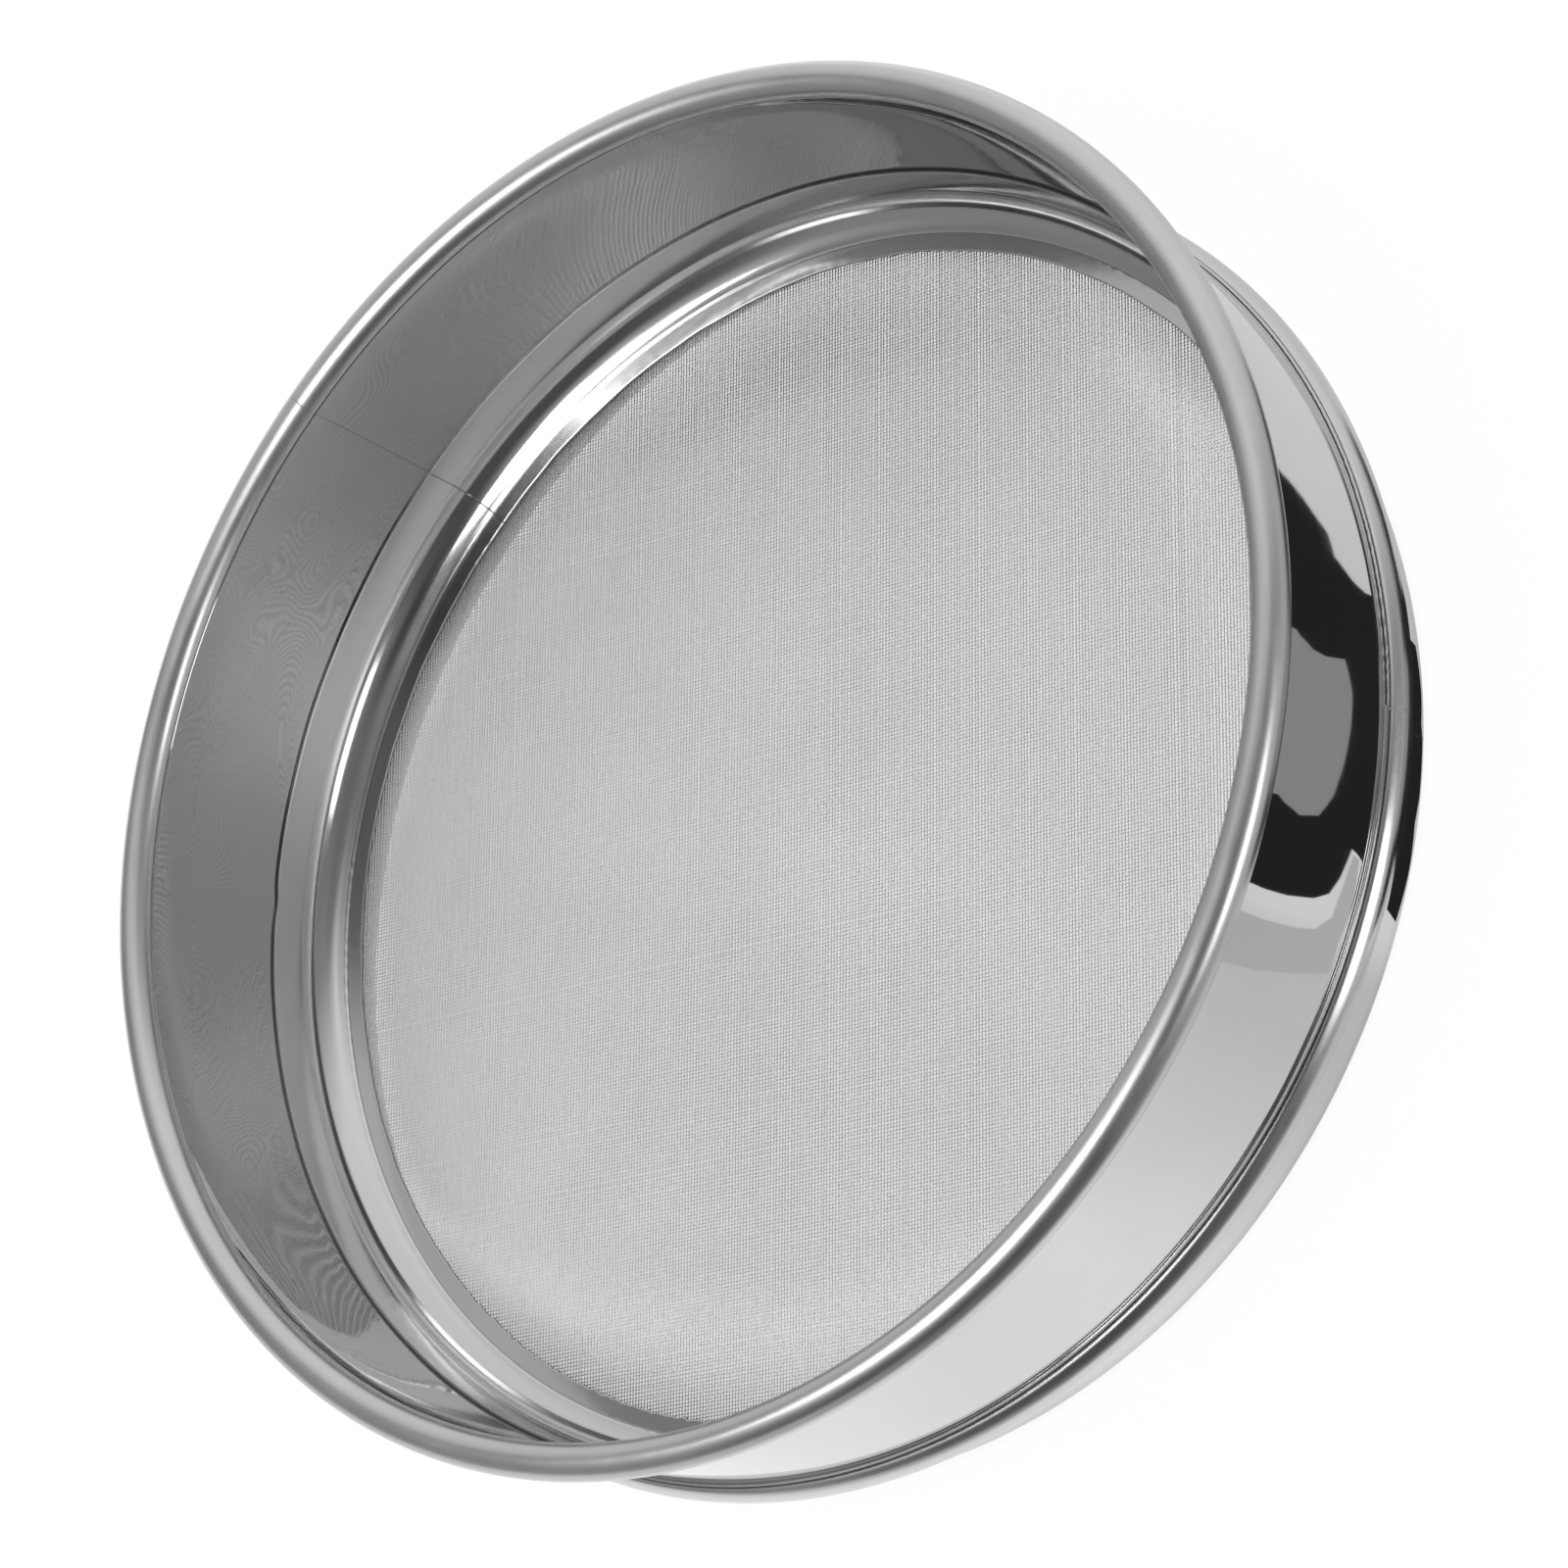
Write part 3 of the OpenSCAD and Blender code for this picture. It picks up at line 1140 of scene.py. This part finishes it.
@dataclass(frozen=True)
class Card:
    """A flat card just above the floor that only mirrors see.

    Its corners have x towards the camera's side. At strength 1 it looks white.
    """

    name: str
    height: float
    strength: float
    corners: Points

    def place(self) -> Piece:
        """Makes the card.

        Returns:
            The card.
        """
        made, g = new_material(self.name)
        glow = g.add("ShaderNodeEmission", Color=WHITE, Strength=self.strength)
        g.close("ShaderNodeOutputMaterial", glow)
        turn = np.radians(CAMERA_SIDE)
        ahead, aside = np.array(self.corners).T
        x = ahead * np.cos(turn) - aside * np.sin(turn)
        y = ahead * np.sin(turn) + aside * np.cos(turn)
        points = np.stack([x, y, np.full(len(x), self.height)], 1)
        card = make_piece(self.name, points, [list(range(len(x)))], None, [made])
        card.visible_camera = card.visible_diffuse = card.visible_shadow = card.visible_transmission = False
        return card


LAMPS = (
    Lamp("front_lamp", 19, 16, 1.2, (0.48, 0.46), 2.3),
    Lamp("top_lamp", -92, 72, 1.1, (0.62, 0.38), 3.5),
)
CARDS = (
    Card("dark_card", 0.3, 0.02, (
        (90, 20), (93, 24), (98.5, 32), (100.7, 27.2), (102.3, 24.7), (105, 23.8), (109.2, 23.8),
        (113.2, 24.5), (116.8, 25.5), (150, 33), (140, 80), (60, 150), (55, 108), (63.6, 90.1), (66.2, 85),
        (69.7, 78.9), (73, 75.5), (74.3, 71.5), (75.1, 68.1), (73, 62), (74, 55), (80, 45.5), (86, 33),
    )),
    Card("grey_card", 0.6, 0.31, (
        (140, 55), (109.5, 42.6), (107.7, 40.4), (105.8, 38.2), (102.4, 37.8), (99.2, 40.8), (95.5, 45.8),
        (91.6, 51.5), (88.5, 56.3), (86.1, 61.6), (88.6, 63.6), (90, 66), (90.4, 70.6), (115, 100),
    )),
    Card("side_card", 0.6, 0.56, (
        (150, 20.5), (118.7, 19.8), (113, 18.7), (107.3, 18.3), (104.1, 18.6), (101.9, 20.8), (101.1, 23.6),
        (99.5, 28.3), (98.3, 31), (97.4, 30), (98.7, 22.5), (100.5, 16.8), (101.2, 12), (106.5, 10.5),
        (112.8, 9.1), (120.3, 8.7), (150, 9),
    )),
)


@dataclass(frozen=True)
class Studio:
    """A pale floor, a pale room, two soft lamps and the small cards that the polished wall mirrors.

    Each ring of levels has bearings from 0 to 360, counted from the camera's side. Lengths are in metres.
    The spans are distances from the axis on the floor, and the upward part of a direction in the room.
    """

    floor_half: float = 6.0
    floor_colour: float = 0.9
    floor_seen_white: float = 0.96
    floor_near: Points = (
        (0, 0.68), (7, 0.66), (11, 0.86), (20, 0.86), (32, 0.7), (62, 0.75), (75, 0.72), (90, 0.77), (130, 0.85),
        (180, 1.0), (240, 1.0), (289, 1.04), (306, 1.0), (320, 0.95), (333, 0.99), (342, 0.88), (351, 0.76),
        (360, 0.68),
    )
    floor_far: Points = (
        (0, 0.42), (23, 0.55), (41, 0.48), (61, 0.48), (79, 0.75), (96, 0.75), (131, 1.05), (150, 0.9),
        (170, 0.9), (180, 1.15), (189, 1.25), (198, 0.8), (212, 1.05), (228, 0.8), (263, 0.85), (280, 0.78),
        (296, 0.5), (312, 0.2), (338, 0.1), (350, 0.22), (360, 0.42),
    )
    floor_under: float = 0.73
    floor_white: float = 1.02
    under_to_open: Pair = (0.088, 0.093)
    near_to_far: Pair = (0.13, 0.185)
    low_walls: Points = (
        (0, 0.2), (30, 0.2), (58, 0.3), (72, 0.6), (85, 0.85), (140, 0.8), (165, 0.65), (178, 0.6), (184, 0.28),
        (205, 0.25), (235, 0.3), (262, 0.3), (280, 0.14), (300, 0.09), (340, 0.09), (352, 0.12), (360, 0.2),
    )
    high_walls: Points = (
        (0, 0.05), (20, 0.18), (45, 0.19), (62, 0.25), (75, 0.6), (90, 0.88), (140, 0.88), (150, 0.75),
        (165, 0.6), (178, 0.55), (186, 0.27), (215, 0.25), (235, 0.35), (250, 0.5), (280, 0.38), (300, 0.45),
        (318, 0.3), (335, 0.1), (360, 0.05),
    )
    low_to_high: Pair = (0.6, 0.78)
    high_to_ceiling: Pair = (0.9, 0.98)
    ceiling: float = 0.22

    def floor_material(self) -> Material:
        """A matt white that is lifted towards white to the eye, less so under the cloth, to keep its shadow soft.

        To the metal it glows by bearing, one way close to the sieve and another further off. It is clear from
        underneath, so that the sieve can be looked at from there too.

        Returns:
            The floor's material.
        """
        made, g = new_material("pale_floor")
        c = self.floor_colour
        matt = g.add("ShaderNodeBsdfDiffuse", Color=(c, c, c, 1))
        rays = g.add("ShaderNodeLightPath")
        by_eye, by_metal = rays.outputs["Is Camera Ray"], rays.outputs["Is Glossy Ray"]
        place = g.add("ShaderNodeTexCoord").outputs["Object"]
        x, y = g.add("ShaderNodeSeparateXYZ", Vector=place).outputs[:2]
        reach = g.math("SQRT", g.math("ADD", g.math("MULTIPLY", x, x), g.math("MULTIPLY", y, y)))
        outside = g.span(reach, *self.under_to_open, 0.0, 1.0)
        seen = g.math("MULTIPLY", g.span(outside, 0.0, 1.0, self.floor_under, 1.0), self.floor_seen_white)
        bearing = g.bearing(x, y)
        near, far = g.ring(bearing, self.floor_near), g.ring(bearing, self.floor_far)
        side = g.blend(reach, self.near_to_far, near, far)
        share = g.math("ADD", g.math("MULTIPLY", by_eye, seen), g.math("MULTIPLY", by_metal, outside))
        strength = g.math(
            "ADD", g.math("MULTIPLY", by_eye, self.floor_white), g.math("MULTIPLY", by_metal, side)
        )
        glow = g.add("ShaderNodeEmission", Color=WHITE, Strength=strength)
        top = g.add("ShaderNodeMixShader", i0=share, i1=matt.outputs[0], i2=glow.outputs[0])
        underneath = g.add("ShaderNodeNewGeometry").outputs["Backfacing"]
        clear = g.add("ShaderNodeBsdfTransparent")
        mix = g.add("ShaderNodeMixShader", i0=underneath, i1=top.outputs[0], i2=clear.outputs[0])
        g.close("ShaderNodeOutputMaterial", mix)
        return made

    def floor(self) -> Piece:
        """Makes the square floor.

        Returns:
            The floor.
        """
        h = self.floor_half
        mesh = bpy.data.meshes.new("floor")
        mesh.from_pydata([(-h, -h, 0), (h, -h, 0), (h, h, 0), (-h, h, 0)], [], [(0, 1, 2, 3)])
        mesh.materials.append(self.floor_material())
        floor = new_object("floor", mesh)
        return floor

    def world(self) -> None:
        """A room that is white to the eye. To the metal it is pale on one side, dark on another, plainer overhead."""
        world = bpy.data.worlds.new("room")
        world.use_nodes = True
        g = Graph(world.node_tree)
        look = g.add("ShaderNodeTexCoord").outputs["Generated"]
        x, y, z = g.add("ShaderNodeSeparateXYZ", Vector=look).outputs
        bearing = g.bearing(x, y)
        walls = g.blend(z, self.low_to_high, g.ring(bearing, self.low_walls), g.ring(bearing, self.high_walls))
        level = g.blend(z, self.high_to_ceiling, walls, self.ceiling)
        room = g.add("ShaderNodeBackground", Color=WHITE, Strength=level)
        white = g.add("ShaderNodeBackground", Color=WHITE, Strength=1.0)
        by_eye = g.add("ShaderNodeLightPath").outputs["Is Camera Ray"]
        mix = g.add("ShaderNodeMixShader", i0=by_eye, i1=room.outputs[0], i2=white.outputs[0])
        g.close("ShaderNodeOutputWorld", mix)
        bpy.context.scene.world = world

    def build(self) -> None:
        """Makes the floor, the room, the lamps and the cards."""
        self.floor()
        self.world()
        for thing in (*LAMPS, *CARDS):
            thing.place()
            log.info("%s: %s", type(thing).__name__, thing.name)


def dress_hidden() -> None:
    """Gives a finish to the wire inside the rim and the hem in the gutter, which stay as the solids made them."""
    for name in ("rim_wire", "mesh_hem"):
        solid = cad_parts[name]
        solid.data.materials.clear()
        solid.data.materials.append(HIDDEN.material())
        log.info("kept solid: %s", name)


def main() -> None:
    """Builds the studio, the camera and the sieve in order."""
    logging.basicConfig(level=logging.INFO, format="%(message)s")
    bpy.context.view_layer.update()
    bpy.context.scene.view_settings.view_transform = "Standard"
    Viewpoint().place()
    Studio().build()
    for part in (UpperHoop(), LowerRing(), Cloth()):
        for piece in part.build():
            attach(piece, "root")
            log.info("%s: %s with %d faces", type(part).__name__, piece.name, len(piece.data.polygons))
    dress_hidden()


if __name__ == "__main__":
    main()
